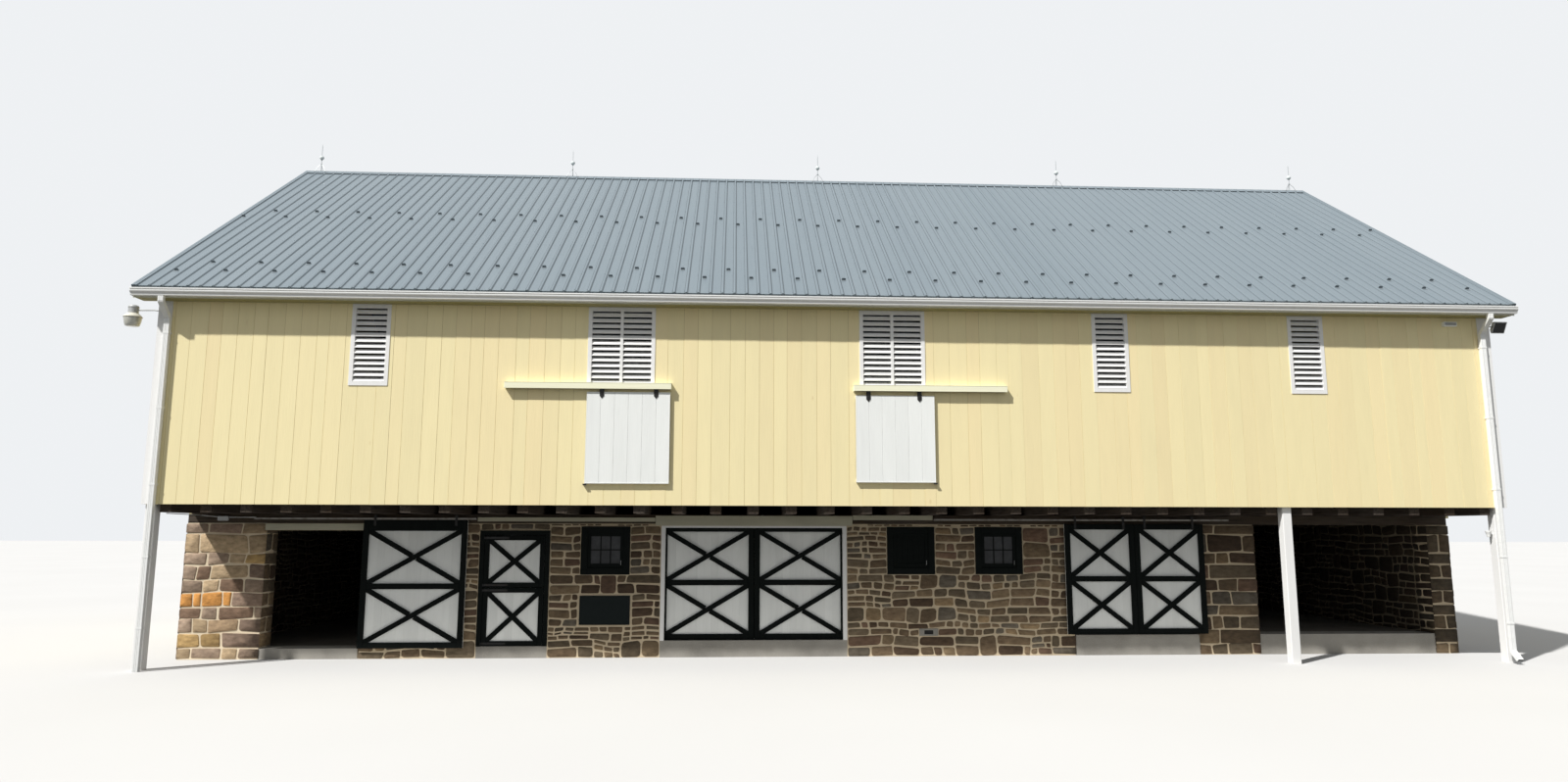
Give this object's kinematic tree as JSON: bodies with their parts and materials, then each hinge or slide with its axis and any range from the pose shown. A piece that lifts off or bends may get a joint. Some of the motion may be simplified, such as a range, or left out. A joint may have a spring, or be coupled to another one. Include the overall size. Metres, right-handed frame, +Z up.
{
  "type": "barn with a boarded overhanging upper storey on a fieldstone lower storey",
  "caption": "Long barn: stone lower storey with sliding, swinging and split doors under a boarded, louvred overhang and a ribbed metal gable roof.",
  "frame": {"origin": "middle of the lowest ground level, half way along the siding and under the ridge", "axes": "+X along the front to the right, +Y from the front to the back, +Z up"},
  "size_m": [26.89, 13.58, 12.3784],
  "materials": {
    "fieldstone": "rough coursed rubble",
    "concrete": "floated",
    "yellow_boards": "painted matt",
    "white_trim": "painted satin",
    "dark_frame": "painted satin",
    "old_timber": "weathered",
    "white_louvre": "painted satin",
    "window": "painted frame round one pane",
    "roof_sheet": "ribbed sheet",
    "white_gutter": "gloss enamel",
    "door_boards": "painted boards with dark frame",
    "track_steel": "weathered",
    "rod_metal": "weathered",
    "globe": "glazed",
    "lamp": "weathered"
  },
  "bodies": {
    "barn": {"west_floor": "concrete", "east_floor": "concrete", "door_sills": "concrete", "left_front_pier": "fieldstone", "front_wall_west": "fieldstone", "front_wall_middle": "fieldstone", "front_wall_east": "fieldstone", "right_front_pier": "fieldstone", "left_gable_wall": "fieldstone", "right_gable_wall": "fieldstone", "rear_stone_wall": "fieldstone", "door_lintels": "fieldstone", "front_plate": "old_timber", "floor_joists": "old_timber", "loft_floor": "old_timber", "left_corner_post": "white_trim", "right_corner_post": "white_trim", "middle_post": "white_trim", "front_siding": "yellow_boards", "rear_siding": "yellow_boards", "left_gable_siding": "yellow_boards", "right_gable_siding": "yellow_boards", "corner_boards": "white_trim", "header_boards": "white_trim", "front_louvres": "white_louvre", "rear_louvres": "white_louvre", "gable_louvres": "white_louvre", "window_west": "window", "window_middle": "window", "window_east": "window", "rear_windows": "window", "west_hood": "yellow_boards", "east_hood": "yellow_boards", "west_hatch_door": "white_trim", "east_hatch_door": "white_trim", "front_roof": "roof_sheet", "rear_roof": "roof_sheet", "ridge_cap": "roof_sheet", "front_fascia": "white_trim", "rear_fascia": "white_trim", "front_gutter": "white_gutter", "rear_gutter": "white_gutter", "rake_boards": "white_trim", "downspouts": "white_gutter", "west_track": "track_steel", "east_track": "track_steel", "centre_door_casing": "white_trim", "dutch_door_frame": "dark_frame", "lightning_rods": "rod_metal", "rod_globes": "globe", "yard_light": "lamp", "corner_lamps": "lamp"},
    "west_door": {"west_slide_door": "door_boards"},
    "dutch_lower": {"dutch_door_lower": "door_boards"},
    "dutch_upper": {"dutch_door_upper": "door_boards"},
    "centre_left": {"centre_door_left": "door_boards"},
    "centre_right": {"centre_door_right": "door_boards"},
    "east_left": {"east_slide_left": "door_boards"},
    "east_right": {"east_slide_right": "door_boards"}
  },
  "joints": [
    {"name": "west_door_slide", "type": "slide", "parent": "barn", "child": "west_door", "axis": [-1, 0, 0], "range_m": [0, 1.95]},
    {"name": "dutch_lower_hinge", "type": "hinge", "parent": "barn", "child": "dutch_lower", "pos_m": [-7.096, -4.837, 0], "axis": [0, 0, -1], "range_deg": [0, 90]},
    {"name": "dutch_upper_hinge", "type": "hinge", "parent": "barn", "child": "dutch_upper", "pos_m": [-7.096, -4.837, 0], "axis": [0, 0, -1], "range_deg": [0, 90]},
    {"name": "centre_left_hinge", "type": "hinge", "parent": "barn", "child": "centre_left", "pos_m": [-3.582, -4.665, 0], "axis": [0, 0, 1], "range_deg": [0, 90]},
    {"name": "centre_right_hinge", "type": "hinge", "parent": "barn", "child": "centre_right", "pos_m": [0.122, -4.665, 0], "axis": [0, 0, -1], "range_deg": [0, 90]},
    {"name": "east_left_slide", "type": "slide", "parent": "barn", "child": "east_left", "axis": [-1, 0, 0], "range_m": [0, 2.65]},
    {"name": "east_right_slide", "type": "slide", "parent": "barn", "child": "east_right", "axis": [1, 0, 0], "range_m": [0, 0.53]}
  ]
}
